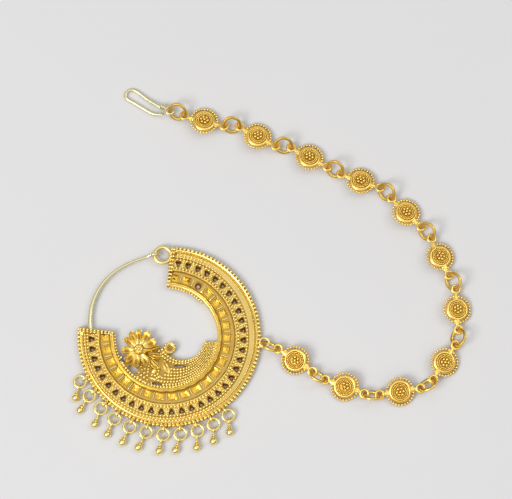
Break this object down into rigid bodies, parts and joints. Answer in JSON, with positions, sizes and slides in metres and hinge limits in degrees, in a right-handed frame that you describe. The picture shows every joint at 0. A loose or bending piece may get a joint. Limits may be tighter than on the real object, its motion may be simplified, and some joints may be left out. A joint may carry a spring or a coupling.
{
  "type": "nose ring with hair chain",
  "caption": "Large pierced crescent nose ring with a nose wire that hooks into an end ring, small hanging drops and a chain of round medallions ending in a hair hook.",
  "frame": {"origin": "centre of the whole jewel's box at the level of the surface that it lies on", "axes": "+X to the right and +Y up as the jewel lies in front of the viewer, +Z up from the surface through the plate"},
  "size_m": [0.1038, 0.0986, 0.0043],
  "materials": {
    "plate_gold": "warm yellow gold plating, granulated and softly polished",
    "wire_gold": "paler gold wire, smooth and polished",
    "drop_gold": "yellow gold plating, bright polished",
    "chain_gold": "warm yellow gold plating, granulated and softly polished"
  },
  "bodies": {
    "root": {"plate": "plate_gold", "nose_wire": "wire_gold", "drop_ring_01": "drop_gold", "drop_ring_02": "drop_gold", "drop_ring_03": "drop_gold", "drop_ring_04": "drop_gold", "drop_ring_05": "drop_gold", "drop_ring_06": "drop_gold", "drop_ring_07": "drop_gold", "drop_ring_08": "drop_gold", "drop_ring_09": "drop_gold", "drop_ring_10": "drop_gold", "drop_ring_11": "drop_gold", "drop_01": "drop_gold", "drop_02": "drop_gold", "drop_03": "drop_gold", "drop_04": "drop_gold", "drop_05": "drop_gold", "drop_06": "drop_gold", "drop_07": "drop_gold", "drop_08": "drop_gold", "drop_09": "drop_gold", "drop_10": "drop_gold", "drop_11": "drop_gold", "chain_ring_01": "chain_gold", "chain_ring_02": "chain_gold", "chain_ring_03": "chain_gold", "chain_ring_04": "chain_gold", "chain_ring_05": "chain_gold", "chain_ring_06": "chain_gold", "chain_ring_07": "chain_gold", "chain_ring_08": "chain_gold", "chain_ring_09": "chain_gold", "chain_ring_10": "chain_gold", "chain_ring_11": "chain_gold", "chain_ring_12": "chain_gold", "medallion_01": "chain_gold", "medallion_02": "chain_gold", "medallion_03": "chain_gold", "medallion_04": "chain_gold", "medallion_05": "chain_gold", "medallion_06": "chain_gold", "medallion_07": "chain_gold", "medallion_08": "chain_gold", "medallion_09": "chain_gold", "medallion_10": "chain_gold", "medallion_11": "chain_gold", "hair_hook": "wire_gold"}
  },
  "joints": []
}
